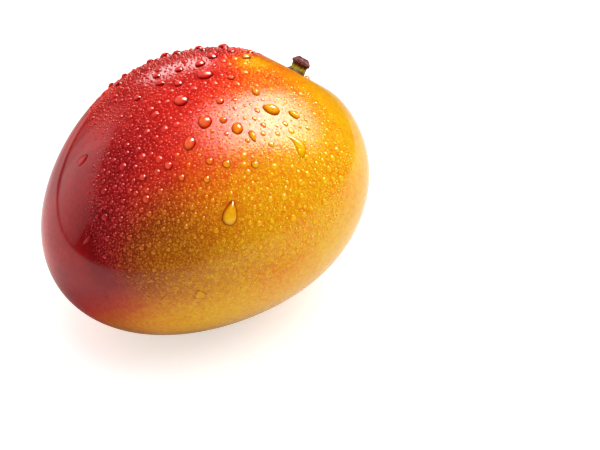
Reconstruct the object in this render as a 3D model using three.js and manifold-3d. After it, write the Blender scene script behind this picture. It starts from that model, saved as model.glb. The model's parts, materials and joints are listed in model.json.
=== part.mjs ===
// A whole ripe mango lying on its side, wet with drops of water, with the stub of its stem.
// Millimetres. +X runs along the fruit towards the stem end, +Z is up, and the origin is the
// middle of the bottom of the fruit's bounding box, on the surface that it lies on.
import * as THREE from 'three';
import { mergeVertices } from 'three/addons/utils/BufferGeometryUtils.js';
import Module from 'manifold-3d';

// ---- driving dimensions ----

// The fruit is an ovoid. Its own long axis is raised by LIE_ANGLE at the stem end.
const LENGTH = 121;
const WIDTH = 101.5;
const DEPTH = 92;
const STEM_END_FULLNESS = 0.06; // the stem end is this much fatter, the other end thinner
const SIDE_BEND = -3.9; // both ends curve this far to one side
const BACK_BEND = -1.5; // and this far down
const LIE_ANGLE = 11;
const REST_HEIGHT = 45.4; // height of the ovoid's centre over the surface, inside the skin's reach

// Swells and hollows of the skin: longitude, latitude and reach in degrees, height in millimetres.
// Longitude 0, latitude 0 is the stem end of the long axis, and latitude 90 is the upper side.
const STEM_PLACE = { lon: 13, lat: 31 };
const SWELLS = [
  { name: 'belly', lon: 24, lat: -72, reach: 42, height: 1.2 },
  { name: 'stem basin', ...STEM_PLACE, reach: 12, height: -3.4 },
  { name: 'near shoulder', lon: -6, lat: 50, reach: 16, height: 0.5 },
  { name: 'far shoulder', lon: 48, lat: 16, reach: 14, height: 0.5 },
  { name: 'beak', lon: 165, lat: -22, reach: 9, height: 0.9 },
  { name: 'sinus beside the beak', lon: 165, lat: -40, reach: 13, height: -0.7 },
];
const WAVE_HEIGHT = 0.15; // slow unevenness of the whole skin
const SKIN_DETAIL = 14; // each edge of an icosahedron is cut into this many, plus one

// The stem stub: height above the skin and radius of each ring, from the root up to the scar.
const STEM_PROFILE = [
  [-3.0, 2.6], [-0.8, 3.2], [0.0, 4.0], [0.6, 3.7], [1.3, 3.1], [2.3, 2.65], [3.3, 2.6],
  [3.9, 2.8], [4.4, 3.2], [5.3, 3.3], [6.1, 2.9], [6.6, 1.9],
];
const STEM_SCAR_HEIGHT = 6.4;
const STEM_SIDES = 20;
const STEM_LOBES = 5; // the scar end is knobbly
const LOBE_DEPTH = 0.09;
const LOBE_START = 3.3;
const SOCKET_GAP = 0.3; // between the stem's root and the flesh round it

// Water. Each drop is a low dome: place in degrees, width across the slope and length down it in
// millimetres, lean of its length in degrees, and taper, which makes the lower end the wider.
const DROP_HEIGHT = 0.42; // of the mean of width and length, while the drop is small
const DROP_SAG = 0.06; // a large drop is this much flatter for each millimetre
const DROP_SIDES = 8;
const DROP_ROOT = 1.0; // how far a dome's root is sunk below the skin
const DROPS = [
  { lon: -82, lat: 70, width: 4.8, length: 5.6, lean: 0, taper: 0 },
  { lon: -83, lat: 84, width: 4.8, length: 5.4, lean: 30, taper: 0 },
  { lon: -102, lat: 65, width: 4.2, length: 5.6, lean: 10, taper: 0.1 },
  { lon: -69, lat: 60, width: 4, length: 4.8, lean: 20, taper: 0.1 },
  { lon: -45, lat: 55, width: 3.6, length: 5.6, lean: 0, taper: 0 },
  { lon: 8, lat: 77, width: 5, length: 6, lean: 0, taper: 0 },
  { lon: -96, lat: 33, width: 5, length: 8.6, lean: 18, taper: 0.35 },
  { lon: -56, lat: 40, width: 2.6, length: 9, lean: 0, taper: 0.1 },
  { lon: -67, lat: 54, width: 2.2, length: 4.6, lean: 0, taper: -0.3 },
  { lon: -41, lat: 47, width: 2.2, length: 4.2, lean: 0, taper: 0 },
  { lon: 170, lat: 53, width: 3.4, length: 6, lean: 0, taper: 0 },
  { lon: 35, lat: 72, width: 3.6, length: 4.6, lean: 60, taper: 0 },
  { lon: 34, lat: 65, width: 3.8, length: 4.4, lean: 0, taper: 0 },
  { lon: 42, lat: 48, width: 3.8, length: 4.2, lean: 0, taper: 0 },
  { lon: 66, lat: 56, width: 3.6, length: 4, lean: 0, taper: 0 },
  { lon: 93, lat: 81, width: 3, length: 3.8, lean: 20, taper: 0 },
  { lon: 57, lat: 76, width: 3.2, length: 3.4, lean: 0, taper: 0 },
  { lon: 40, lat: 85, width: 3.2, length: 3.2, lean: 0, taper: 0 },
  { lon: 88, lat: 75, width: 3, length: 3.2, lean: 0, taper: 0 },
  { lon: 107, lat: 57, width: 3, length: 3.2, lean: 0, taper: 0 },
  { lon: 55, lat: 50, width: 3.2, length: 3.4, lean: 0, taper: 0 },
  { lon: -32, lat: 62, width: 2.8, length: 3.8, lean: 30, taper: 0 },
  { lon: -52, lat: 72, width: 2.6, length: 3.2, lean: 40, taper: 0 },
  { lon: -70, lat: 66, width: 2.8, length: 2.8, lean: 0, taper: 0 },
  { lon: -88, lat: 51, width: 3, length: 3.1, lean: 0, taper: 0 },
  { lon: -95, lat: 55, width: 2.8, length: 2.8, lean: 0, taper: 0 },
  { lon: -119, lat: 59, width: 3, length: 3.2, lean: 0, taper: 0 },
  { lon: -77, lat: 45, width: 2.8, length: 3, lean: 0, taper: 0 },
  { lon: 136, lat: 77, width: 2.7, length: 2.9, lean: 0, taper: 0 },
  { lon: -100, lat: 49, width: 2.6, length: 2.7, lean: 0, taper: 0 },
  { lon: -112, lat: 53, width: 2.5, length: 2.5, lean: 0, taper: 0 },
  { lon: -135, lat: 56, width: 2.6, length: 2.7, lean: 0, taper: 0 },
  { lon: -13, lat: 70, width: 2.4, length: 2.7, lean: 0, taper: 0 },
];

// More drops on the other side of the fruit, spread by two irrational steps, so that none is drawn.
const FAR_DROPS = 18;
const FAR_LON = [-18, 150];
const FAR_LAT = [2, 58];
const FAR_WIDTH = [2.2, 4];
const SPREAD_STEPS = [0.7549, 0.5698, 0.3819];
const STEM_CLEARANCE = 13; // degrees round the stem that stay free of drops

// ---- the skin's formula ----

const rad = THREE.MathUtils.degToRad;
const UP = new THREE.Vector3(0, 0, 1);
const RAISE = new THREE.Matrix4().makeRotationY(-rad(LIE_ANGLE));

function direction(lon, lat) {
  const across = Math.cos(rad(lat));
  return new THREE.Vector3(
    across * Math.cos(rad(lon)), across * Math.sin(rad(lon)), Math.sin(rad(lat)));
}

const swells = SWELLS.map((swell) => ({ ...swell, centre: direction(swell.lon, swell.lat) }));

function swellHeight(u) {
  let height = 0;
  for (const { centre, reach, height: full } of swells) {
    const turn = THREE.MathUtils.radToDeg(u.angleTo(centre)) / reach;
    height += full * Math.exp(-turn * turn);
  }
  const wave = Math.sin(5.1 * u.x + 2.3 * u.y + 0.7)
    + Math.sin(4.3 * u.y - 3.1 * u.z + 2.1)
    + Math.sin(4.7 * u.z + 2.9 * u.x + 4);
  return height + WAVE_HEIGHT * wave;
}

// The point of the skin in direction u, with the ovoid's centre at 0.
function skinPoint(u) {
  const fullness = 1 + STEM_END_FULLNESS * u.x;
  const bend = u.x * u.x;
  const outward = new THREE.Vector3((2 * u.x) / LENGTH, (2 * u.y) / WIDTH, (2 * u.z) / DEPTH);
  const point = new THREE.Vector3(
    (LENGTH / 2) * u.x,
    (WIDTH / 2) * u.y * fullness + SIDE_BEND * bend,
    (DEPTH / 2) * u.z * fullness + BACK_BEND * bend);
  return point.addScaledVector(outward.normalize(), swellHeight(u)).applyMatrix4(RAISE);
}

function skinNormal(u) {
  const step = 0.002;
  const side = new THREE.Vector3(0.3, 0.5, 0.81).cross(u).normalize().multiplyScalar(step);
  const rise = u.clone().cross(side);
  const slope = (d) => skinPoint(u.clone().add(d).normalize())
    .sub(skinPoint(u.clone().sub(d).normalize()));
  return slope(side).cross(slope(rise)).normalize();
}

// ---- solids ----

const wasm = await Module();
wasm.setup();

function toSolid(geometry) {
  geometry.deleteAttribute('normal');
  geometry.deleteAttribute('uv');
  const welded = mergeVertices(geometry, 1e-4);
  return new wasm.Manifold(new wasm.Mesh({
    numProp: 3,
    vertProperties: new Float32Array(welded.attributes.position.array),
    triVerts: new Uint32Array(welded.index.array),
  }));
}

function toGeometry(solid) {
  const mesh = solid.getMesh();
  const geometry = new THREE.BufferGeometry();
  geometry.setAttribute('position', new THREE.BufferAttribute(mesh.vertProperties, 3));
  geometry.setIndex(new THREE.BufferAttribute(mesh.triVerts, 1));
  geometry.computeVertexNormals();
  return geometry;
}

// The skin is closed at the bottom by the small flat spot that the fruit rests on.
function fruitBody() {
  const geometry = new THREE.IcosahedronGeometry(1, SKIN_DETAIL);
  const positions = geometry.attributes.position;
  const u = new THREE.Vector3();
  for (let i = 0; i < positions.count; i += 1) {
    const point = skinPoint(u.fromBufferAttribute(positions, i).normalize());
    positions.setXYZ(i, point.x, point.y, Math.max(point.z, -REST_HEIGHT));
  }
  return toSolid(geometry);
}

// A drop is turned on a lathe, then stretched down the slope and set on the skin.
function dropBody({ lon, lat, width, length, lean, taper }) {
  const radius = width / 2;
  const mean = (width + length) / 2;
  const height = (DROP_HEIGHT * mean) / (1 + DROP_SAG * mean);
  const profile = [
    [0, -DROP_ROOT], [radius * 0.9, -DROP_ROOT], [radius, 0], [radius * 0.86, height * 0.48],
    [radius * 0.52, height * 0.86], [0, height],
  ];
  const geometry = new THREE.LatheGeometry(
    profile.map(([r, h]) => new THREE.Vector2(r, h)), DROP_SIDES);
  geometry.rotateX(Math.PI / 2);
  const positions = geometry.attributes.position;
  for (let i = 0; i < positions.count; i += 1) {
    const down = positions.getY(i) / radius;
    positions.setX(i, positions.getX(i) * (1 + taper * down));
    positions.setY(i, (down * length) / 2);
  }
  const u = direction(lon, lat);
  const normal = skinNormal(u);
  const downhill = UP.clone().negate().addScaledVector(normal, normal.z).normalize();
  downhill.applyAxisAngle(normal, rad(-lean));
  const across = downhill.clone().cross(normal);
  const frame = new THREE.Matrix4().makeBasis(across, downhill, normal);
  geometry.applyMatrix4(frame.setPosition(skinPoint(u)));
  return toSolid(geometry);
}

function farDrops() {
  const stem = direction(STEM_PLACE.lon, STEM_PLACE.lat);
  const drops = [];
  for (let k = 1; k <= FAR_DROPS; k += 1) {
    const [a, b, c] = SPREAD_STEPS.map((stepSize) => (k * stepSize) % 1);
    const lon = THREE.MathUtils.lerp(...FAR_LON, a);
    const lat = THREE.MathUtils.lerp(...FAR_LAT, b);
    const width = THREE.MathUtils.lerp(...FAR_WIDTH, c * c);
    if (THREE.MathUtils.radToDeg(direction(lon, lat).angleTo(stem)) > STEM_CLEARANCE) {
      drops.push({ lon, lat, width, length: width * (1 + b / 3), lean: 0, taper: b / 6 });
    }
  }
  return drops;
}

// The stem's rings stand on the skin's normal. The root below the skin is wider by grow for the
// socket that it sits in.
function stemBody(grow) {
  const corners = [];
  const faces = [];
  const ring = (height, radius) => {
    const knobbly = LOBE_DEPTH * THREE.MathUtils.smoothstep(height, LOBE_START, LOBE_START + 1.5);
    for (let side = 0; side < STEM_SIDES; side += 1) {
      const turn = (side / STEM_SIDES) * 2 * Math.PI;
      const lobes = 1 + knobbly * Math.cos(STEM_LOBES * turn)
        + 0.04 * Math.cos(2 * turn + 0.5 * height);
      const r = radius * lobes + grow;
      corners.push(r * Math.cos(turn), r * Math.sin(turn), height);
    }
  };
  STEM_PROFILE.forEach(([height, radius], i) => ring(i ? height : height - grow, radius));
  const last = STEM_PROFILE.length - 1;
  for (let row = 0; row < last; row += 1) {
    for (let side = 0; side < STEM_SIDES; side += 1) {
      const next = (side + 1) % STEM_SIDES;
      const [a, b] = [row * STEM_SIDES + side, row * STEM_SIDES + next];
      faces.push(a, b, b + STEM_SIDES, a, b + STEM_SIDES, a + STEM_SIDES);
    }
  }
  const foot = corners.length / 3;
  corners.push(0, 0, STEM_PROFILE[0][0] - grow, 0, 0, STEM_SCAR_HEIGHT + grow);
  for (let side = 0; side < STEM_SIDES; side += 1) {
    const next = (side + 1) % STEM_SIDES;
    faces.push(foot, next, side);
    faces.push(foot + 1, last * STEM_SIDES + side, last * STEM_SIDES + next);
  }
  const geometry = new THREE.BufferGeometry();
  geometry.setAttribute('position', new THREE.Float32BufferAttribute(corners, 3));
  geometry.setIndex(faces);
  const u = direction(STEM_PLACE.lon, STEM_PLACE.lat);
  const upright = new THREE.Quaternion().setFromUnitVectors(UP, skinNormal(u));
  geometry.applyQuaternion(upright);
  geometry.translate(...skinPoint(u));
  return toSolid(geometry);
}

// ---- the assembly ----

const skinMaterial = new THREE.MeshStandardMaterial({
  color: 0xc8452a, roughness: 0.25, metalness: 0,
});
const stemMaterial = new THREE.MeshStandardMaterial({
  color: 0x6b5a33, roughness: 0.8, metalness: 0,
});

let wetFruit = fruitBody();
for (const drop of [...DROPS, ...farDrops()]) {
  wetFruit = wetFruit.add(dropBody(drop));
}
const fruit = new THREE.Mesh(toGeometry(wetFruit.subtract(stemBody(SOCKET_GAP))), skinMaterial);
fruit.name = 'fruit';

const stem = new THREE.Mesh(toGeometry(stemBody(0)), stemMaterial);
stem.name = 'stem';

const mango = new THREE.Group();
mango.add(fruit, stem);
const box = new THREE.Box3().setFromObject(mango);
const middle = box.getCenter(new THREE.Vector3());
mango.position.set(-middle.x, -middle.y, -box.min.z);

export default mango;
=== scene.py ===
# A whole ripe mango lying on its side, wet with drops of water.
# Metres, in the part's own frame: +X towards the stem end, +Z up, the floor at zero.
import json
import math
import random

import bmesh
import bpy
from mathutils import Matrix, Quaternion, Vector, noise

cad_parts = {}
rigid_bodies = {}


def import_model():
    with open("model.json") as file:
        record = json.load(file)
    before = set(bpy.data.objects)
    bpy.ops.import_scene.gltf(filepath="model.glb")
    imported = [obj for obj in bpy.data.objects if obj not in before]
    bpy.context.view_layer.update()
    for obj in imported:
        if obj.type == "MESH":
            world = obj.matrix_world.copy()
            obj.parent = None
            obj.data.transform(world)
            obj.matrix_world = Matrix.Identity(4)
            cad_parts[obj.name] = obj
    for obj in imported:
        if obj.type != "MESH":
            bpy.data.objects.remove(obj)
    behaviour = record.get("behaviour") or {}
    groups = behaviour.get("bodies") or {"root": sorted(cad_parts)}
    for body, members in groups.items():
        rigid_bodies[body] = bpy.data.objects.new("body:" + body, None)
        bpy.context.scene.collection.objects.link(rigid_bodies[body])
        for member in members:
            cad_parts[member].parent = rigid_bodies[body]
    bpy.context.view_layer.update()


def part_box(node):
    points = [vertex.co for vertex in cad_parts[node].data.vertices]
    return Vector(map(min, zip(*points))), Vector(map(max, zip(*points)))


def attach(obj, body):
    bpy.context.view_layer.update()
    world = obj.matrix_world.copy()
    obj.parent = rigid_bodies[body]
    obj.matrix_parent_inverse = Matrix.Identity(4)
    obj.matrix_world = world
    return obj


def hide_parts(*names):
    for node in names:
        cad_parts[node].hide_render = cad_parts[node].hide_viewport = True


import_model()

# ---- camera ----
# It looks down on the fruit from the side, with the stem end turned away to the right.
CAMERA_AZIMUTH = math.radians(-30.3)
CAMERA_ELEVATION = math.radians(39.9)
CAMERA_DISTANCE = 0.622
CAMERA_LENS = 100
CAMERA_TARGET = Vector((0.0377, -0.0055, 0.0171))

camera_data = bpy.data.cameras.new("camera")
camera_data.lens = CAMERA_LENS
camera = bpy.data.objects.new("camera", camera_data)
camera_back = Vector((
    math.sin(CAMERA_AZIMUTH) * math.cos(CAMERA_ELEVATION),
    -math.cos(CAMERA_AZIMUTH) * math.cos(CAMERA_ELEVATION),
    math.sin(CAMERA_ELEVATION)))
camera.location = CAMERA_TARGET + camera_back * CAMERA_DISTANCE
camera.rotation_euler = camera_back.to_track_quat("Z", "Y").to_euler()
bpy.context.scene.collection.objects.link(camera)
bpy.context.scene.camera = camera

# ---- skin of the fruit ----
# The mango's one waxy skin, grown whole: crimson where the sun reached it, orange to golden
# elsewhere, with fine pale flecks. Its form is the same formula that the solid model follows.
LENGTH = 0.121
WIDTH = 0.1015
DEPTH = 0.092
STEM_END_FULLNESS = 0.06
SIDE_BEND = -0.0039
BACK_BEND = -0.0015
LIE_ANGLE = math.radians(11)
REST_HEIGHT = 0.0454
STEM_LON, STEM_LAT = 13, 31
# Longitude, latitude and reach in degrees, height in metres.
SWELLS = (
    (24, -72, 42, 0.0012),
    (STEM_LON, STEM_LAT, 12, -0.0034),
    (-6, 50, 16, 0.0005),
    (48, 16, 14, 0.0005),
    (165, -22, 9, 0.0009),
    (165, -40, 13, -0.0007),
)
WAVE_HEIGHT = 0.00015
RAISE = Matrix.Rotation(-LIE_ANGLE, 3, "Y")


def direction(lon, lat):
    lon, lat = math.radians(lon), math.radians(lat)
    across = math.cos(lat)
    return Vector((across * math.cos(lon), across * math.sin(lon), math.sin(lat)))


def patch(u, lon, lat, reach):
    """1 at the middle of a round patch of the skin, falling softly to 0 beyond its reach."""
    turn = math.degrees(u.angle(direction(lon, lat))) / reach
    return math.exp(-turn * turn)


def around_origin(u):
    """The point of the skin in direction u, with the ovoid's centre at the origin."""
    fullness = 1 + STEM_END_FULLNESS * u.x
    bend = u.x * u.x
    outward = Vector((2 * u.x / LENGTH, 2 * u.y / WIDTH, 2 * u.z / DEPTH)).normalized()
    height = sum(swell * patch(u, lon, lat, reach) for lon, lat, reach, swell in SWELLS)
    # Slow waves that cross each other, since nothing that grew is quite even.
    wave = (
        math.sin(5.1 * u.x + 2.3 * u.y + 0.7)
        + math.sin(4.3 * u.y - 3.1 * u.z + 2.1)
        + math.sin(4.7 * u.z + 2.9 * u.x + 4))
    point = Vector((
        LENGTH / 2 * u.x,
        WIDTH / 2 * u.y * fullness + SIDE_BEND * bend,
        DEPTH / 2 * u.z * fullness + BACK_BEND * bend))
    return RAISE @ (point + outward * (height + WAVE_HEIGHT * wave))


skin_bm = bmesh.new()
bmesh.ops.create_icosphere(skin_bm, subdivisions=7, radius=1)
ways = [v.co.normalized() for v in skin_bm.verts]
places = [around_origin(u) for u in ways]
solid_low, solid_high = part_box("fruit")
span_x = [p.x for p in places]
span_y = [p.y for p in places]
CENTRE = Vector((
    (solid_low[0] + solid_high[0] - min(span_x) - max(span_x)) / 2,
    (solid_low[1] + solid_high[1] - min(span_y) - max(span_y)) / 2,
    solid_low[2] + REST_HEIGHT))


def skin_point(u):
    return around_origin(u) + CENTRE


# The skin's slope is read over a small step to each side, square to this slanting way.
SLANT = Vector((0.3, 0.5, 0.81))
STEP = 0.002


def skin_normal(u):
    side = SLANT.cross(u).normalized() * STEP
    rise = u.cross(side)
    slope_side = around_origin((u + side).normalized()) - around_origin((u - side).normalized())
    slope_rise = around_origin((u + rise).normalized()) - around_origin((u - rise).normalized())
    return slope_side.cross(slope_rise).normalized()


for vert, place in zip(skin_bm.verts, places):
    vert.co = place + CENTRE
    vert.co.z = max(vert.co.z, solid_low[2])
skin_mesh = bpy.data.meshes.new("skin")
skin_bm.to_mesh(skin_mesh)
skin_bm.free()
skin_mesh.shade_smooth()

# How the colour lies, in soft patches: longitude, latitude, reach and strength. Blush runs from
# 0, golden, through orange and red to 1, deep crimson. Shade turns it towards the ochre and
# brown of skin that ripened in the leaves' shadow, on the front; underneath it is painted shade.
BLUSH_START = 0.06
BLUSHES = (
    (-172, 36, 34, 0.34), (-150, 34, 17, 0.34), (-146, 12, 15, 0.36), (80, 84, 46, 0.46),
    (-116, 56, 26, 0.18), (130, 30, 46, 0.36), (-174, -10, 29, 0.48), (62, 52, 22, 0.26),
    (8, 59, 7, -0.36), (-50, 58, 18, -0.15), (-162, 0, 16, 0.20), (-166, 60, 14, 0.11),
    (178, 16, 18, 0.10), (158, 28, 16, 0.10), (-138, 20, 12, 0.09), (-5, 69, 12, 0.07),
    (34, 55, 10, 0.14), (157, 46, 13, 0.11), (-152, -8, 14, -0.08), (-56, 38, 10, -0.10),
    (-82, 43, 14, -0.05), (-120, -12, 15, -0.09), (-104, -14, 13, -0.04),
)
# The shades at latitude -6 and below, low on the front and under the fruit, are painted shade that
# darkens the underside.
SHADES = (
    (-126, 32, 20, 0.90), (-106, 14, 22, 0.50), (-132, 8, 17, 0.45), (-150, -6, 14, 0.50),
    (-140, 23, 12, 0.25), (-121, 49, 9, 0.14), (-148, -27, 14, 0.70), (-125, -40, 15, 0.65),
    (-100, -44, 15, 0.45),
)
# Fine pale flecks show in the skin low on the front as well as where it is wet.
FLECKED = (-100, -4, 36)
# Where the water fell, in round showers: longitude, latitude, and the angles from there at which
# the wet begins to thin out and ends. The shoulder round the stem stayed dry.
SHOWERS = ((-92, 46, 43, 54), (50, 70, 30, 43))
DRY_SHOULDER = (8, 38, 16, 22)


def field(u, patches, start=0.0):
    return start + sum(strength * patch(u, lon, lat, reach) for lon, lat, reach, strength in patches)


def wetness(u):
    wettest = 0.0
    for lon, lat, full, end in SHOWERS:
        inside = (end - math.degrees(u.angle(direction(lon, lat)))) / (end - full)
        wettest = max(wettest, min(1.0, inside))
    lon, lat, dry, end = DRY_SHOULDER
    outside = (math.degrees(u.angle(direction(lon, lat))) - dry) / (end - dry)
    wettest *= max(0.0, min(1.0, outside))
    return wettest * wettest * (3 - 2 * wettest)


COLOUR_FIELDS = (
    ("blush", lambda u: field(u, BLUSHES, BLUSH_START)),
    ("shade", lambda u: field(u, SHADES)),
)
WET_FIELDS = (
    ("fleck", lambda u: wetness(u) + patch(u, *FLECKED)),
    ("wet", wetness),
)


def store_fields(mesh, ways, fields):
    for name, reading in fields:
        attribute = mesh.attributes.new(name, "FLOAT", "POINT")
        attribute.data.foreach_set("value", [min(1.0, reading(u)) for u in ways])


store_fields(skin_mesh, ways, COLOUR_FIELDS + WET_FIELDS)


def node(tree, kind, **settings):
    made = tree.nodes.new(kind)
    for name, value in settings.items():
        setattr(made, name, value)
    return made


def feed(tree, socket, value):
    """Sets a socket to a number or colour, or links it to another node's output."""
    if isinstance(value, (int, float)):
        socket.default_value = value
    elif isinstance(value, tuple):
        socket.default_value = (*value, 1)
    else:
        tree.links.new(value, socket)


def maths(tree, operation, *values, clamp=False):
    made = node(tree, "ShaderNodeMath", operation=operation, use_clamp=clamp)
    for socket, value in zip(made.inputs, values):
        feed(tree, socket, value)
    return made.outputs[0]


def mix_colour(tree, factor, first, second):
    made = node(tree, "ShaderNodeMix", data_type="RGBA")
    for socket, value in zip((made.inputs[0], made.inputs[6], made.inputs[7]), (factor, first, second)):
        feed(tree, socket, value)
    return made.outputs[2]


def place_of(tree):
    return node(tree, "ShaderNodeTexCoord").outputs["Object"]


def grain(tree, place, scale, detail, roughness):
    made = node(tree, "ShaderNodeTexNoise")
    made.inputs["Scale"].default_value = scale
    made.inputs["Detail"].default_value = detail
    made.inputs["Roughness"].default_value = roughness
    tree.links.new(place, made.inputs["Vector"])
    return made.outputs["Fac"]


def ramp_colour(tree, factor, stops):
    made = node(tree, "ShaderNodeValToRGB")
    elements = made.color_ramp.elements
    for element, (position, colour) in zip(elements, (stops[0], stops[-1])):
        element.position, element.color = position, (*colour, 1)
    for position, colour in stops[1:-1]:
        elements.new(position).color = (*colour, 1)
    tree.links.new(factor, made.inputs[0])
    return made.outputs["Color"]


def read_field(tree, name):
    return node(tree, "ShaderNodeAttribute", attribute_name=name).outputs["Fac"]


RIPENESS = (
    (0.00, (0.88, 0.53, 0.006)),
    (0.18, (0.88, 0.37, 0.004)),
    (0.40, (0.83, 0.115, 0.006)),
    (0.60, (0.70, 0.034, 0.020)),
    (0.82, (0.36, 0.010, 0.012)),
    (1.00, (0.16, 0.003, 0.005)),
)
SHADED = (
    (0.00, (0.54, 0.24, 0.003)),
    (0.20, (0.45, 0.155, 0.003)),
    (0.40, (0.34, 0.085, 0.003)),
    (0.60, (0.25, 0.040, 0.003)),
    (0.80, (0.19, 0.013, 0.004)),
    (1.00, (0.15, 0.003, 0.005)),
)
CLOUD_SCALE = 38
CLOUD_SWING = 0.34
STIPPLE_SCALE = 620
STIPPLE_ON_GOLD = 0.65
STIPPLE_ON_RED = 0.10


def deepened(tree, colour, power):
    """A colour made deeper and warmer by a power over 1, or brighter, near its own hue, under 1."""
    parts = node(tree, "ShaderNodeSeparateColor")
    tree.links.new(colour, parts.inputs[0])
    halfway = maths(tree, "MULTIPLY_ADD", power, 0.5, 0.5)
    bent = node(tree, "ShaderNodeGamma")
    tree.links.new(colour, bent.inputs["Color"])
    tree.links.new(maths(tree, "MAXIMUM", power, halfway), bent.inputs["Gamma"])
    made = node(tree, "ShaderNodeVectorMath", operation="SCALE")
    tree.links.new(bent.outputs[0], made.inputs[0])
    below = maths(tree, "SUBTRACT", maths(tree, "MINIMUM", halfway, 1.0), 1.0)
    tree.links.new(maths(tree, "POWER", parts.outputs[0], below), made.inputs["Scale"])
    return made.outputs[0]


def skin_colour(tree, place):
    """The blush moved up and down by slow clouds and fine stippling, then shaded."""
    clouds = grain(tree, place, CLOUD_SCALE, detail=3, roughness=0.6)
    clouds = maths(tree, "MULTIPLY_ADD", clouds, CLOUD_SWING, -CLOUD_SWING / 2)
    blush = read_field(tree, "blush")
    stipple = grain(tree, place, STIPPLE_SCALE, detail=3, roughness=0.7)
    stipple = maths(tree, "SUBTRACT", stipple, 0.5)
    calm = maths(tree, "MULTIPLY_ADD", blush, STIPPLE_ON_RED - STIPPLE_ON_GOLD, STIPPLE_ON_GOLD)
    stipple = maths(tree, "MULTIPLY", stipple, calm)
    mottled = maths(tree, "ADD", maths(tree, "ADD", blush, clouds), stipple, clamp=True)
    ripe = ramp_colour(tree, mottled, RIPENESS)
    shaded = ramp_colour(tree, mottled, SHADED)
    return mix_colour(tree, read_field(tree, "shade"), ripe, shaded)


FLECK_SCALE = 950
FLECK_SHARPNESS = 1.6
FLECK_PALENESS = 0.60
FAINTEST_FLECK = 0.6
FLECK_VARIETY = 0.8
# How much deeper golden skin is between its flecks, and how much less red or shaded skin is.
BETWEEN_FLECKS = 0.45
LESS_ON_RED = 0.40
LESS_IN_SHADE = 0.20


def flecked(tree, place, colour):
    """The same colour with bright flecks in it, close together and of uneven strength."""
    cells = node(tree, "ShaderNodeTexVoronoi")
    cells.inputs["Scale"].default_value = FLECK_SCALE
    tree.links.new(place, cells.inputs["Vector"])
    dot = maths(tree, "MULTIPLY_ADD", cells.outputs["Distance"], -FLECK_SHARPNESS, 1.0, clamp=True)
    chance = node(tree, "ShaderNodeSeparateColor")
    tree.links.new(cells.outputs["Color"], chance.inputs[0])
    uneven = maths(tree, "MULTIPLY_ADD", chance.outputs[0], FLECK_VARIETY, FAINTEST_FLECK)
    dot = maths(tree, "MULTIPLY", dot, uneven)
    between = maths(tree, "MULTIPLY_ADD", read_field(tree, "blush"), -LESS_ON_RED, BETWEEN_FLECKS)
    between = maths(tree, "MULTIPLY_ADD", read_field(tree, "shade"), -LESS_IN_SHADE, between)
    contrast = maths(tree, "MULTIPLY_ADD", dot, -FLECK_PALENESS, between)
    return deepened(tree, colour, maths(tree, "MULTIPLY_ADD", contrast, read_field(tree, "fleck"), 1.0))


WAX_IOR = 1.5
DRY_ROUGHNESS = 0.12
WET_ROUGHNESS = 0.17
skin_material = bpy.data.materials.new("mango_skin")
skin_material.use_nodes = True
tree = skin_material.node_tree
shader = tree.nodes["Principled BSDF"]
place = place_of(tree)
tree.links.new(flecked(tree, place, skin_colour(tree, place)), shader.inputs["Base Color"])
shader.inputs["IOR"].default_value = WAX_IOR
roughness = node(tree, "ShaderNodeMapRange")
roughness.inputs["To Min"].default_value = DRY_ROUGHNESS
roughness.inputs["To Max"].default_value = WET_ROUGHNESS
tree.links.new(read_field(tree, "wet"), roughness.inputs["Value"])
tree.links.new(roughness.outputs[0], shader.inputs["Roughness"])

# Water too fine to stand as drops: a film of tiny beads where the fruit is wet.
FILM_SCALE = 1100
FILM_HEIGHT = 0.0003
FILM_STRENGTH = 0.16
FILM_SMOOTHNESS = 0.3
film = node(tree, "ShaderNodeTexVoronoi", feature="SMOOTH_F1")
film.inputs["Scale"].default_value = FILM_SCALE
film.inputs["Smoothness"].default_value = FILM_SMOOTHNESS
tree.links.new(place, film.inputs["Vector"])
bump = node(tree, "ShaderNodeBump")
bump.inputs["Distance"].default_value = FILM_HEIGHT
feed(tree, bump.inputs["Strength"], maths(tree, "MULTIPLY", read_field(tree, "wet"), FILM_STRENGTH))
feed(tree, bump.inputs["Height"], maths(tree, "SUBTRACT", 1.0, film.outputs["Distance"]))
tree.links.new(bump.outputs[0], shader.inputs["Normal"])

skin_mesh.materials.append(skin_material)
skin = bpy.data.objects.new("skin", skin_mesh)
bpy.context.scene.collection.objects.link(skin)
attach(skin, "root")
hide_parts("fruit")

# ---- large drops of water ----
# Water that stands on the wax in high beads, each pinned where it landed and sagging a little
# down the slope. The drops are opaque and painted with the colour of the skin below them, as clear
# water would show it: a painted shade outline, painted light on the side away from the light, and a
# glint.
MM_PER_METRE = 1000
DROP_HEIGHT = 0.42
DROP_SAG = 60.0
DOWNHILL_SHARE = 0.10
DROP_ROOT = 0.0004
CURVE_RADIUS = 0.048
STANDING_ANGLE = math.radians(68)
STANDING_WOBBLE = 0.03
DROP_SIDES = 40
DROP_RINGS = 12
# The way to the light that the painted light on each drop's far side is set against.
LIGHT_WAY = direction(0, 56)
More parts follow.
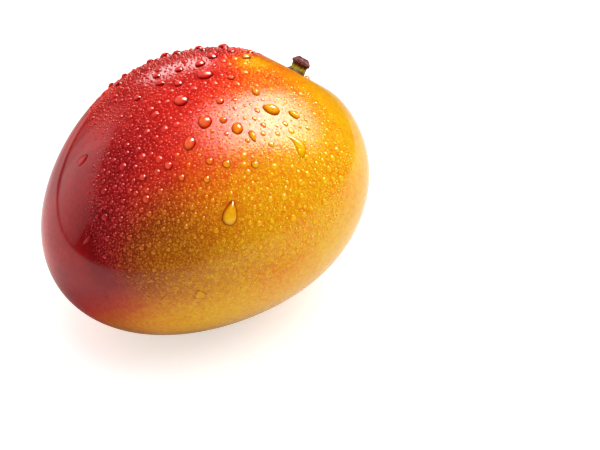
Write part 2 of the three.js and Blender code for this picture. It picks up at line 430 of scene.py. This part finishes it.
# Longitude, latitude, width and length in millimetres, lean in degrees, taper; then any curl.
LARGE_DROPS = (
    (-82, 70, 4.8, 5.6, 0, 0), (-83, 84, 4.8, 5.4, 30, 0), (-102, 65, 4.2, 5.6, 10, 0.1),
    (-69, 60, 4, 4.8, 20, 0.1), (-44, 55, 4.4, 6.2, -30, 0.3), (8, 77, 5, 6, 0, 0),
    (-96, 33, 5, 8.6, 18, 0.35), (-67, 54, 2.2, 4.6, 0, -0.3),
    (-41, 47, 2.2, 4.2, 0, 0), (35, 72, 3.6, 4.6, 60, 0),
    (34, 65, 3.8, 4.4, 0, 0), (42, 48, 3.8, 4.2, 0, 0), (66, 56, 3.6, 4, 0, 0),
    (93, 81, 3, 3.8, 20, 0), (57, 76, 3.2, 3.4, 0, 0), (40, 85, 3.2, 3.2, 0, 0),
    (88, 75, 3, 3.2, 0, 0), (107, 57, 3, 3.2, 0, 0), (55, 50, 3.2, 3.4, 0, 0),
    (-32, 62, 2.8, 3.8, 30, 0), (-52, 72, 2.6, 3.2, 40, 0), (-70, 66, 2.8, 2.8, 0, 0),
    (-88, 51, 3, 3.1, 0, 0), (-95, 55, 2.8, 2.8, 0, 0), (-119, 59, 3, 3.2, 0, 0),
    (-77, 45, 2.8, 3, 0, 0), (136, 77, 2.7, 2.9, 0, 0), (-100, 49, 2.6, 2.7, 0, 0),
    (-112, 53, 2.5, 2.5, 0, 0), (-135, 56, 2.6, 2.7, 0, 0), (-13, 70, 2.4, 2.7, 0, 0),
    (104, 46, 2.8, 3.2, 0, 0), (97, 49, 2.6, 3, 0, 0), (82, 51, 3, 3.4, 0, 0),
    (30, 56, 2.4, 2.7, 0, 0), (24, 50, 2.4, 2.7, 0, 0),
)
# Little low drops between them on the round of the shoulder: longitude, latitude, width.
LITTLE_DROPS = (
    (-45, 68, 2.0), (-55, 66, 1.5), (-46, 62, 1.3), (-49, 59, 2.0), (-56, 58, 1.7), (-57, 54, 2.0),
    (-49, 48, 2.0), (-53, 50, 1.2), (-62, 52, 1.8), (-71, 54, 1.8), (-64, 47, 2.2), (-77, 61, 1.7),
    (-57, 48, 1.8), (-40, 46, 2.6), (-40, 42, 1.5), (-44, 40, 1.8), (-46, 43, 1.5), (-29, 48, 1.3),
    (-25, 39, 1.6), (-38, 59, 1.4), (22, 46, 2.0),
)
LITTLE_STRETCH = 1.15
LITTLE_ANGLE = math.radians(30)
# Drops that have spread and lie flat, seen by their outline only.
FLAT_DROPS = (
    (170, 53, 3.4, 6, 0, 0, 0), (-158, 31, 1.4, 5, 30, 0, 0), (-56, 40, 4.0, 9.5, -4, 0.8, 1.3),
    (-114, 2.5, 4.2, 4.4, 0, 0.4, 0.3),
)
FLAT_ANGLE = math.radians(14)
FLAT_WOBBLE = 0.06
# On the other side they are spread evenly, by fixed steps of longitude, latitude and width, and
# keep clear of the stem and of the dry skin on its near side.
FAR_DROPS = 18
SPREAD_STEPS = (0.7549, 0.5698, 0.3819)
FAR_LON, FAR_LON_RANGE = -18, 118
FAR_LAT, FAR_LAT_RANGE = 2, 56
FAR_WIDTH, FAR_WIDTH_RANGE = 2.2, 1.8
NEAREST_LON = 0
STEM_CLEARANCE = 13


def far_drops():
    stem_way = direction(STEM_LON, STEM_LAT)
    for k in range(1, FAR_DROPS + 1):
        a, b, c = (k * step % 1 for step in SPREAD_STEPS)
        lon = FAR_LON + FAR_LON_RANGE * a
        lat = FAR_LAT + FAR_LAT_RANGE * b
        width = FAR_WIDTH + FAR_WIDTH_RANGE * c * c
        from_stem = math.degrees(direction(lon, lat).angle(stem_way))
        if lon > NEAREST_LON and from_stem > STEM_CLEARANCE:
            yield lon, lat, width, width * (1 + b / 3), 0, b / 6


def slope_axes(normal, lean):
    downhill = Vector((0, 0, -1)) + normal * normal.z
    downhill = downhill.normalized() if downhill.length > 1e-6 else normal.orthogonal().normalized()
    downhill.rotate(Quaternion(normal, math.radians(-lean)))
    return downhill.cross(normal), downhill


large_water = bpy.data.collections.new("large_water")
small_water = bpy.data.collections.new("small_water")


class Water:
    """The points and faces of many drops that make one piece.

    Each point also has the place of its drop, edge, 1 at the rim and 0 at the crown, which sets the
    painted rim shade, and a mask, 1 on the side away from the light and -1 towards it, for painted
    light there.
    """

    def __init__(self):
        self.points, self.faces, self.ways, self.edge, self.painted_light_side = [], [], [], [], []

    def add_drop(self, u, width, length, lean, taper, sides, rings, wobble, contact, curl=0.0):
        """A closed bead: rings of a dome from its root, just under the skin, up to its crown."""
        normal = skin_normal(u)
        middle = skin_point(u)
        across, downhill = slope_axes(normal, lean)
        # The way across the skin away from the light, for the painted light on the drop's far side.
        away = (normal * normal.dot(LIGHT_WAY) - LIGHT_WAY).normalized()
        mean = (width + length) / 2
        height = DROP_HEIGHT * mean / (1 + DROP_SAG * mean) * contact / STANDING_ANGLE
        sag = DOWNHILL_SHARE * (1 - normal.z) * length
        start = len(self.points)
        for ring in range(rings):
            lean_out = contact * (1 - ring / rings)
            spread = math.sin(lean_out) / math.sin(contact)
            lift = (math.cos(lean_out) - math.cos(contact)) / (1 - math.cos(contact))
            for side in range(sides):
                turn = 2 * math.pi * side / sides
                # Two and three soft corners, turned another way on each drop.
                corners = math.sin(2 * turn + 9 * u.x) + math.sin(3 * turn + 7 * u.y)
                painted_outline_shade = 1 + wobble * corners
                down = math.sin(turn) * painted_outline_shade * spread
                right = math.cos(turn) * painted_outline_shade * spread * (1 + taper * down)
                x = (right + curl * (down * down - 0.5)) * width / 2
                y = down * length / 2 + sag * lift
                fall = (x * x + y * y) / (2 * CURVE_RADIUS)
                z = lift * height - fall - (DROP_ROOT if ring == 0 else 0)
                self.points.append(middle + across * x + downhill * y + normal * z)
                self.edge.append(spread)
                outward = across * math.cos(turn) + downhill * math.sin(turn)
                self.painted_light_side.append(spread * outward.dot(away))
        self.points.append(middle + downhill * sag - across * curl * width / 4 + normal * height)
        self.points.append(middle - normal * DROP_ROOT * 2)
        self.edge += [0, 1]
        self.painted_light_side += [0, 0]
        crown, foot = len(self.points) - 2, len(self.points) - 1
        self.ways += [u] * (len(self.points) - start)
        for side in range(sides):
            after = (side + 1) % sides
            for ring in range(rings - 1):
                row = start + ring * sides
                self.faces.append((row + side, row + side + sides, row + after + sides, row + after))
            last = start + (rings - 1) * sides
            self.faces.append((last + side, crown, last + after))
            self.faces.append((start + after, foot, start + side))

    def finish(self, name, material, group):
        mesh = bpy.data.meshes.new(name)
        mesh.from_pydata(self.points, [], self.faces)
        mesh.shade_smooth()
        mesh.materials.append(material)
        store_fields(mesh, self.ways, COLOUR_FIELDS)
        for field_name, values in (("edge", self.edge), ("painted_light_side", self.painted_light_side)):
            mesh.attributes.new(field_name, "FLOAT", "POINT").data.foreach_set("value", values)
        piece = bpy.data.objects.new(name, mesh)
        bpy.context.scene.collection.objects.link(piece)
        piece.visible_shadow = False
        group.objects.link(piece)
        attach(piece, "root")


WATER_IOR = 1.4
WATER_ROUGHNESS = 0.04
WATER_GLOSS = 0.5
RIM_SHARPNESS = 6.0
# Painted light: how much paler a bead is painted over red and over olive skin, and the palest it may
# be.
PALE_ON_RED = 0.36
PALE_ON_OLIVE = 0.14
PALEST = 0.45


def water_material(name, body, painted_rim_shade, glow, painted_outline_shade):
    """Painted colour for an opaque bead: the skin's colour below it as clear water would show it.

    Painted light makes a bead over red or olive skin paler than what it stands on, over yellow it
    hardly does, and brightens the side away from the light. Painted shade deepens the rim, and the
    outline is how dark the painted shade in the line round a bead is.
    """
    material = bpy.data.materials.new(name)
    material.use_nodes = True
    tree = material.node_tree
    shader = tree.nodes["Principled BSDF"]
    # Painted shade at the rim and outline; painted light over red or olive skin and on the side away
    # from the light.
    edge = maths(tree, "POWER", read_field(tree, "edge"), RIM_SHARPNESS)
    deep = maths(tree, "MULTIPLY_ADD", edge, painted_rim_shade, body)
    paler = maths(tree, "MULTIPLY_ADD", read_field(tree, "blush"), -PALE_ON_RED, deep)
    paler = maths(tree, "MULTIPLY_ADD", read_field(tree, "shade"), -PALE_ON_OLIVE, paler)
    bent = maths(tree, "MULTIPLY_ADD", read_field(tree, "painted_light_side"), -glow, paler)
    bent = maths(tree, "MAXIMUM", bent, PALEST)
    through = deepened(tree, skin_colour(tree, place_of(tree)), bent)
    outlined = node(tree, "ShaderNodeVectorMath", operation="SCALE")
    tree.links.new(through, outlined.inputs[0])
    feed(tree, outlined.inputs["Scale"], maths(tree, "MULTIPLY_ADD", edge, -painted_outline_shade, 1.0))
    tree.links.new(outlined.outputs[0], shader.inputs["Base Color"])
    shader.inputs["Roughness"].default_value = WATER_ROUGHNESS
    shader.inputs["IOR"].default_value = WATER_IOR
    shader.inputs["Specular IOR Level"].default_value = WATER_GLOSS
    return material


# The places that drops have taken, in cells of the unit sphere, each with the drop's radius.
CELL = 0.1
taken = {}


def cell_of(u):
    return tuple(int(c // CELL) for c in u)


def keep_clear(u, width, length):
    taken.setdefault(cell_of(u), []).append((u, (width + length) / (4 * MM_PER_METRE)))


standing = Water()
for lon, lat, width, length, lean, taper in (*LARGE_DROPS, *far_drops()):
    u = direction(lon, lat)
    standing.add_drop(
        u, width / MM_PER_METRE, length / MM_PER_METRE, lean, taper,
        DROP_SIDES, DROP_RINGS, STANDING_WOBBLE, STANDING_ANGLE)
    keep_clear(u, width, length)
standing_water = water_material("standing_water", body=0.72, painted_rim_shade=1.9, glow=0.35, painted_outline_shade=0.68)
standing.finish("large_drops", standing_water, large_water)
flat = Water()
for lon, lat, width in LITTLE_DROPS:
    u = direction(lon, lat)
    flat.add_drop(
        u, width / MM_PER_METRE, width * LITTLE_STRETCH / MM_PER_METRE, 0, 0,
        DROP_SIDES, DROP_RINGS, FLAT_WOBBLE, LITTLE_ANGLE)
    keep_clear(u, width, width)
for lon, lat, width, length, lean, taper, curl in FLAT_DROPS:
    u = direction(lon, lat)
    flat.add_drop(
        u, width / MM_PER_METRE, length / MM_PER_METRE, lean, taper,
        DROP_SIDES, DROP_RINGS, FLAT_WOBBLE, FLAT_ANGLE, curl)
flat_water = water_material("flat_water", body=0.98, painted_rim_shade=1.6, glow=0.1, painted_outline_shade=0.45)
flat.finish("flat_drops", flat_water, large_water)

# ---- small drops and spray ----
# The same water, fallen as a fine spray: beads of a millimetre or two, and between them
# thousands of droplets of half a millimetre that make the upper side glitter.
random.seed(41)
FRUIT_RADIUS = 0.05
STEM_ROOM = 0.10
# The round of the shoulder, where most of the fine beads have run together and away.
DRAINED = (-50, 52, 20)
DRAINED_SHARE = 0.7
# Low on the front the beads stay small, and so do those where the wet thins out.
FINER = (-112, 8, 32)
FINER_SHARE = 0.45
SIZE_IN_THE_DRY = 0.55
TRIES_EACH = 40


def scattered(count, smallest, largest, skew, spacing):
    """Places with a size each, clear of one another and of the stem, only where it is wet."""
    grid = {}
    stem_way = direction(STEM_LON, STEM_LAT)
    placed = []
    tries = 0
    while len(placed) < count and tries < count * TRIES_EACH:
        tries += 1
        u = Vector((random.gauss(0, 1), random.gauss(0, 1), random.gauss(0, 1))).normalized()
        wet = wetness(u)
        size = smallest + (largest - smallest) * random.random() ** skew
        size *= SIZE_IN_THE_DRY + (1 - SIZE_IN_THE_DRY) * wet
        size *= 1 - FINER_SHARE * patch(u, *FINER)
        kept = wet * (1 - DRAINED_SHARE * patch(u, *DRAINED))
        if random.random() > kept or u.angle(stem_way) < STEM_ROOM:
            continue
        key = cell_of(u)
        near = [
            other for dx in (-1, 0, 1) for dy in (-1, 0, 1) for dz in (-1, 0, 1)
            for other in (
                *grid.get((key[0] + dx, key[1] + dy, key[2] + dz), ()),
                *taken.get((key[0] + dx, key[1] + dy, key[2] + dz), ()))]
        if any((u - way).length * FRUIT_RADIUS < (reach + size / 2) * spacing for way, reach in near):
            continue
        grid.setdefault(key, []).append((u, size / 2))
        placed.append((u, size))
    for key, cell in grid.items():
        taken.setdefault(key, []).extend(cell)
    return placed


BEAD_ANGLE = math.radians(54)
BEAD_STRETCH = 0.2
BEAD_TAPER = 0.05
BEAD_WOBBLE = 0.02
# The beads left on the drained shoulder lie flatter.
FLATTENED = 0.55
fine_water = water_material("fine_water", body=0.90, painted_rim_shade=0.60, glow=0.40, painted_outline_shade=0)
# How many, the smallest and largest width, how far the small ones outnumber the large, how far
# apart they keep in widths, and the sides and rings of each bead.
for name, count, smallest, largest, skew, spacing, sides, rings in (
        ("small_drops", 400, 0.0015, 0.0028, 1.9, 1.2, 20, 6),
        ("beads", 3800, 0.0007, 0.00135, 1.3, 1.1, 8, 3),
        ("spray", 4000, 0.0004, 0.0006, 1.5, 1.1, 6, 2)):
    beads = Water()
    for u, size in scattered(count, smallest, largest, skew, spacing):
        length = size * (1 + BEAD_STRETCH * random.random())
        contact = BEAD_ANGLE * (1 - FLATTENED * patch(u, *DRAINED))
        beads.add_drop(u, size, length, 0, BEAD_TAPER, sides, rings, BEAD_WOBBLE, contact)
    beads.finish(name, fine_water, small_water)

# ---- stem ----
# The stub of the stalk, dry and woody: a flared foot in the fruit's basin, an olive neck and a
# knobbly mauve-brown scar where it snapped off. It is grown into the fruit. Its profile has the
# height over the skin and the radius, in millimetres, from the root up to the scar.
STEM_PROFILE = (
    (-1.2, 3.0), (-0.4, 3.7), (0.0, 4.0), (0.5, 3.7), (1.2, 3.1), (2.2, 2.7), (3.2, 2.65),
    (3.8, 2.75), (4.3, 3.0), (5.2, 3.0), (6.0, 2.6), (6.5, 1.8), (6.55, 0.9),
)
STEM_SIDES = 72
STEM_ROWS_EACH = 4


def along_profile(t):
    """Height and radius in metres at t, a smooth curve through the profile's points."""
    i = min(int(t), len(STEM_PROFILE) - 2)
    f = t - i
    p = [STEM_PROFILE[max(0, min(len(STEM_PROFILE) - 1, i + k))] for k in (-1, 0, 1, 2)]
    return [
        0.5 * (2 * p[1][c] + (p[2][c] - p[0][c]) * f
               + (2 * p[0][c] - 5 * p[1][c] + 4 * p[2][c] - p[3][c]) * f * f
               + (3 * p[1][c] - p[0][c] - 3 * p[2][c] + p[3][c]) * f ** 3) / MM_PER_METRE
        for c in (0, 1)]


# The foot is drawn out on one side, and the knob is rough and lumpy.
FLARE = 0.35
FLARE_TURN = math.radians(120)
FLARE_TOP = 0.002
KNOB_START = 0.0033
KNOB_RISE = 0.0012
LOBES = 5
LOBE_DEPTH = 0.07
OVAL_DEPTH = 0.04
OVAL_TWIST = 500
# Lumps and grit: how close together, and how deep. Noise is read round the stem and up it.
UP_SCALE = 400
LUMP_SCALE, LUMP_SIZE = 1.6, 0.00026
GRIT_SCALE, GRIT_SIZE = 4.5, 0.00013
SCAR_SCALE, SCAR_SIZE = 900, 0.0003
STEM_HEIGHT = 0.0065
STEM_BASE = -0.0012
SCAR_MIDDLE = 0.0062
stem_way = direction(STEM_LON, STEM_LAT)
stem_turn = Vector((0, 0, 1)).rotation_difference(skin_normal(stem_way)).to_matrix()
stem_foot = skin_point(stem_way)
verts, faces, heights = [], [], []
rows = (len(STEM_PROFILE) - 1) * STEM_ROWS_EACH
for row in range(rows + 1):
    height, radius = along_profile(row / STEM_ROWS_EACH)
    knob = max(0.0, min(1.0, (height - KNOB_START) / KNOB_RISE))
    for side in range(STEM_SIDES):
        turn = 2 * math.pi * side / STEM_SIDES
        foot = max(0.0, 1 - height / FLARE_TOP) * max(0.0, math.cos(turn - FLARE_TURN)) ** 2
        lobes = 1 + LOBE_DEPTH * knob * math.cos(LOBES * turn)
        lobes += OVAL_DEPTH * math.cos(2 * turn + OVAL_TWIST * height)
        lobes += FLARE * foot
        spot = Vector((math.cos(turn), math.sin(turn), height * UP_SCALE))
        rough = noise.noise(spot * LUMP_SCALE) * LUMP_SIZE + noise.noise(spot * GRIT_SCALE) * GRIT_SIZE
        r = radius * lobes + rough * (1 + knob)
        rise = knob * noise.noise(Vector((r * SCAR_SCALE, turn, 3))) * SCAR_SIZE
        verts.append(stem_turn @ Vector((r * math.cos(turn), r * math.sin(turn), height + rise)))
        heights.append(height / STEM_HEIGHT)
for row in range(rows):
    for side in range(STEM_SIDES):
        after = (side + 1) % STEM_SIDES
        a, b = row * STEM_SIDES + side, row * STEM_SIDES + after
        faces.append((a, b, b + STEM_SIDES, a + STEM_SIDES))
verts += [stem_turn @ Vector((0, 0, STEM_BASE)), stem_turn @ Vector((0, 0, SCAR_MIDDLE))]
heights += [0, 1]
for side in range(STEM_SIDES):
    after = (side + 1) % STEM_SIDES
    faces.append((len(verts) - 2, after, side))
    faces.append((len(verts) - 1, rows * STEM_SIDES + side, rows * STEM_SIDES + after))
stem_mesh = bpy.data.meshes.new("stem_stub")
stem_mesh.from_pydata([stem_foot + v for v in verts], [], faces)
stem_mesh.shade_smooth()
up_stem = stem_mesh.attributes.new("up_stem", "FLOAT", "POINT")
up_stem.data.foreach_set("value", heights)
# Dried sap has stained one side of the knob orange.
RUST_SPOT = Vector((0.0029, -0.0012, 0.0043))
RUST_REACH = 0.0016
rust = stem_mesh.attributes.new("rust", "FLOAT", "POINT")
rust.data.foreach_set("value", [
    math.exp(-((stem_turn.transposed() @ v - RUST_SPOT).length / RUST_REACH) ** 2) for v in verts])

# Colours up the stub, from its foot to its scar. The near black at the foot, down in the basin,
# is painted shade; it is dark again just under the knob.
BARK = (
    (0.00, (0.022, 0.008, 0.003)), (0.14, (0.055, 0.026, 0.006)), (0.26, (0.20, 0.14, 0.010)),
    (0.38, (0.42, 0.36, 0.040)), (0.50, (0.15, 0.10, 0.010)), (0.60, (0.030, 0.009, 0.006)),
    (0.72, (0.15, 0.040, 0.034)), (0.86, (0.30, 0.115, 0.110)), (1.00, (0.08, 0.020, 0.018)),
)
STREAK_SCALE = 700
STREAK_SWING = 0.36
CRACK_SCALE = 1300
CRACK_START = 1.15
CRACK_DEPTH = 1.6
BARK_GRAIN_SCALE = 1500
BARK_RELIEF = 0.0003
BARK_RELIEF_STRENGTH = 0.8
BARK_ROUGHNESS = 0.5
BARK_GLOSS = 0.2
RUST = (0.42, 0.12, 0.02)
RUST_STRENGTH = 0.8
stem_material = bpy.data.materials.new("stem_bark")
stem_material.use_nodes = True
tree = stem_material.node_tree
shader = tree.nodes["Principled BSDF"]
place = place_of(tree)
streaks = grain(tree, place, STREAK_SCALE, detail=5, roughness=0.7)
streaks = maths(tree, "MULTIPLY_ADD", streaks, STREAK_SWING, -STREAK_SWING / 2)
bark = ramp_colour(tree, maths(tree, "ADD", read_field(tree, "up_stem"), streaks), BARK)
cracks = grain(tree, place, CRACK_SCALE, detail=4, roughness=0.75)
cracks = maths(tree, "SUBTRACT", CRACK_START, cracks)
worn = node(tree, "ShaderNodeGamma")
tree.links.new(bark, worn.inputs["Color"])
tree.links.new(maths(tree, "MULTIPLY", cracks, CRACK_DEPTH), worn.inputs["Gamma"])
stain = maths(tree, "MULTIPLY", read_field(tree, "rust"), RUST_STRENGTH)
tree.links.new(mix_colour(tree, stain, worn.outputs[0], RUST), shader.inputs["Base Color"])
shader.inputs["Roughness"].default_value = BARK_ROUGHNESS
shader.inputs["Specular IOR Level"].default_value = BARK_GLOSS
bump = node(tree, "ShaderNodeBump")
bump.inputs["Strength"].default_value = BARK_RELIEF_STRENGTH
bump.inputs["Distance"].default_value = BARK_RELIEF
bark_grain = grain(tree, place, BARK_GRAIN_SCALE, detail=4, roughness=0.6)
tree.links.new(bark_grain, bump.inputs["Height"])
tree.links.new(bump.outputs[0], shader.inputs["Normal"])

stem_mesh.materials.append(stem_material)
stem = bpy.data.objects.new("stem_stub", stem_mesh)
bpy.context.scene.collection.objects.link(stem)
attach(stem, "root")
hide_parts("stem")

# ---- floor and light ----
# A plain pale top to lie on, in a dim room, and soft boxes: a large one overhead to the right,
# white walls low at the left and behind, wide weak ones that only fill, and small ones that
# only the water mirrors.
FLOOR_HALF = 3.0
FLOOR_WHITE = (0.82, 0.82, 0.82)
FLOOR_DIM = (0.06, 0.06, 0.06)
# To the eye the top is lit a little from below, which keeps the shadow pale.
FLOOR_GLOW = 0.17
GLOW_TO_THE_EYE = 0.24
# Only in the glossy skin's mirror is the pale top painted dark: beyond a forearm away, where the dark
# room begins, as painted shade where the fruit shades it, and in two places behind: middle, reach and
# depth.
PALE_TOPS = (((0, 0, 0), 0.36), ((-0.3, 0.07, 0), 0.28))
DIM_PLACES = (
    ((-0.055, -0.008, 0), 0.045, 0.85), ((-0.028, -0.032, 0), 0.03, 0.60),
    ((0.02, 0.23, 0), 0.14, 0.85), ((0.24, 0.22, 0), 0.17, 0.92),
)
floor_mesh = bpy.data.meshes.new("floor")
floor_mesh.from_pydata(
    [(-FLOOR_HALF, -FLOOR_HALF, 0), (FLOOR_HALF, -FLOOR_HALF, 0),
     (FLOOR_HALF, FLOOR_HALF, 0), (-FLOOR_HALF, FLOOR_HALF, 0)], [], [(0, 1, 2, 3)])
floor_material = bpy.data.materials.new("floor_white")
floor_material.use_nodes = True
tree = floor_material.node_tree
shader = tree.nodes["Principled BSDF"]
place = place_of(tree)


def distance_from(tree, place, middle):
    made = node(tree, "ShaderNodeVectorMath", operation="DISTANCE")
    tree.links.new(place, made.inputs[0])
    made.inputs[1].default_value = middle
    return made.outputs["Value"]


dim = 1.0
for middle, reach in PALE_TOPS:
    beyond = maths(tree, "GREATER_THAN", distance_from(tree, place, middle), reach)
    dim = maths(tree, "MULTIPLY", beyond, dim)
for middle, reach, depth in DIM_PLACES:
    turn = maths(tree, "DIVIDE", distance_from(tree, place, middle), reach)
    squared = maths(tree, "POWER", turn, 2.0)
    fall = maths(tree, "EXPONENT", maths(tree, "MULTIPLY", squared, -1.0))
    dim = maths(tree, "MAXIMUM", dim, maths(tree, "MULTIPLY", fall, depth))
rays = node(tree, "ShaderNodeLightPath")
dim = maths(tree, "MULTIPLY", dim, rays.outputs["Is Glossy Ray"])
tree.links.new(mix_colour(tree, dim, FLOOR_WHITE, FLOOR_DIM), shader.inputs["Base Color"])
shader.inputs["Roughness"].default_value = 1.0
shader.inputs["Specular IOR Level"].default_value = 0.0
unlit = maths(tree, "MAXIMUM", dim, rays.outputs["Is Diffuse Ray"])
glow = maths(tree, "MULTIPLY_ADD", rays.outputs["Is Camera Ray"], GLOW_TO_THE_EYE, FLOOR_GLOW)
glow = maths(tree, "MULTIPLY", maths(tree, "SUBTRACT", 1.0, unlit), glow)
shader.inputs["Emission Color"].default_value = (1, 1, 1, 1)
tree.links.new(glow, shader.inputs["Emission Strength"])
floor_mesh.materials.append(floor_material)
floor = bpy.data.objects.new("floor", floor_mesh)
bpy.context.scene.collection.objects.link(floor)

FRUIT_MIDDLE = Vector((0, 0, 0.05))
WARM_GLINT = (1.0, 0.80, 0.60)
AMBER_GLINT = (1.0, 0.66, 0.42)


def soft_box(name, azimuth, elevation, distance, width, height, radiance, shine=True, fill=True):
    """A lit panel that faces the fruit. Azimuth counts from +X; radiance 1 is plain white."""
    azimuth, elevation = math.radians(azimuth), math.radians(elevation)
    towards = Vector((
        math.cos(azimuth) * math.cos(elevation),
        math.sin(azimuth) * math.cos(elevation),
        math.sin(elevation)))
    data = bpy.data.lights.new(name, "AREA")
    data.shape = "RECTANGLE"
    data.size, data.size_y = width, height
    data.energy = radiance * math.pi * width * height
    light = bpy.data.objects.new(name, data)
    light.location = FRUIT_MIDDLE + towards * distance
    light.rotation_euler = towards.to_track_quat("Z", "Y").to_euler()
    light.visible_glossy = shine
    light.visible_diffuse = fill
    light.visible_transmission = False
    bpy.context.scene.collection.objects.link(light)
    return light


# Of each panel: azimuth and elevation in degrees, distance, width, height, and radiance.
COOL_WHITE = (0.93, 0.93, 1.0)
KEY_SPREAD = math.radians(80)
key_shine = soft_box("key_shine", -3, 60, 1.0, 0.83, 1.5, 2.6, fill=False)
key_shine.data.spread = KEY_SPREAD
key_shine.data.color = COOL_WHITE
# The water alone mirrors these, so that it glints while the skin between stays deep.
for name, azimuth, elevation, distance, width, height, radiance, tint, group in (
        ("large_glint", 0, 56, 1.0, 0.5, 0.6, 45.0, WARM_GLINT, large_water),
        ("small_glint", 0, 56, 1.0, 0.6, 0.7, 16.0, AMBER_GLINT, small_water),
        ("back_glint", 50, 42, 1.1, 0.8, 0.5, 7.0, AMBER_GLINT, small_water),
        ("bead_glow", 90, 60, 1.3, 2.2, 1.6, 0.9, WARM_GLINT, small_water)):
    light = soft_box(name, azimuth, elevation, distance, width, height, radiance, fill=False)
    light.data.color = tint
    light.light_linking.receiver_collection = group
soft_box("key_fill", 0, 68, 1.6, 2.4, 2.4, 1.12, shine=False)
# Only the skin, the stem and the larger drops mirror the walls, so that the spray stays deep.
wall_seen = bpy.data.collections.new("wall_seen")
for piece in (skin, stem, *large_water.objects):
    wall_seen.objects.link(piece)
# Three panels, one before the other, so that the far end of the wall fades in steps.
WALL_NEAR_END = Vector((-0.737, 0.187, 0.176))
WALL_ALONG = Vector((0.906, 0.423, 0))
WALL_LENGTHS = (0.57, 0.645, 0.72)
WALL_SPREAD = math.radians(120)
for length in WALL_LENGTHS:
    wall = soft_box("left_wall", 115, 13, 0.56, length, 0.335, 0.17, fill=False)
    wall.location = WALL_NEAR_END + WALL_ALONG * length / 2
    wall.data.spread = WALL_SPREAD
    wall.light_linking.receiver_collection = wall_seen
soft_box("left_fill", -170, 20, 1.2, 1.5, 0.9, 0.10, shine=False)
soft_box("back_fill", 90, 30, 1.3, 1.6, 0.9, 0.35, shine=False)
back_wall = soft_box("back_wall", 75, 17, 1.3, 0.46, 0.4, 4.4, fill=False)
back_wall.light_linking.receiver_collection = wall_seen

# The room lights the fruit evenly, is dark in its mirror, and is white to the eye.
AMBIENT = 0.6
ROOM = 0.04
BACKDROP = 0.97
world = bpy.data.worlds.new("room")
bpy.context.scene.world = world
world.use_nodes = True
tree = world.node_tree


def mix_number(tree, factor, first, second):
    made = node(tree, "ShaderNodeMix")
    for socket, value in zip((made.inputs[0], made.inputs[2], made.inputs[3]), (factor, first, second)):
        feed(tree, socket, value)
    return made.outputs[0]


rays = node(tree, "ShaderNodeLightPath")
strength = mix_number(tree, rays.outputs["Is Diffuse Ray"], ROOM, AMBIENT)
strength = mix_number(tree, rays.outputs["Is Camera Ray"], strength, BACKDROP)
room = tree.nodes["Background"]
room.inputs["Color"].default_value = (1, 1, 1, 1)
tree.links.new(strength, room.inputs["Strength"])
bpy.context.scene.view_settings.view_transform = "Standard"
bpy.context.scene.view_settings.look = "Medium High Contrast"
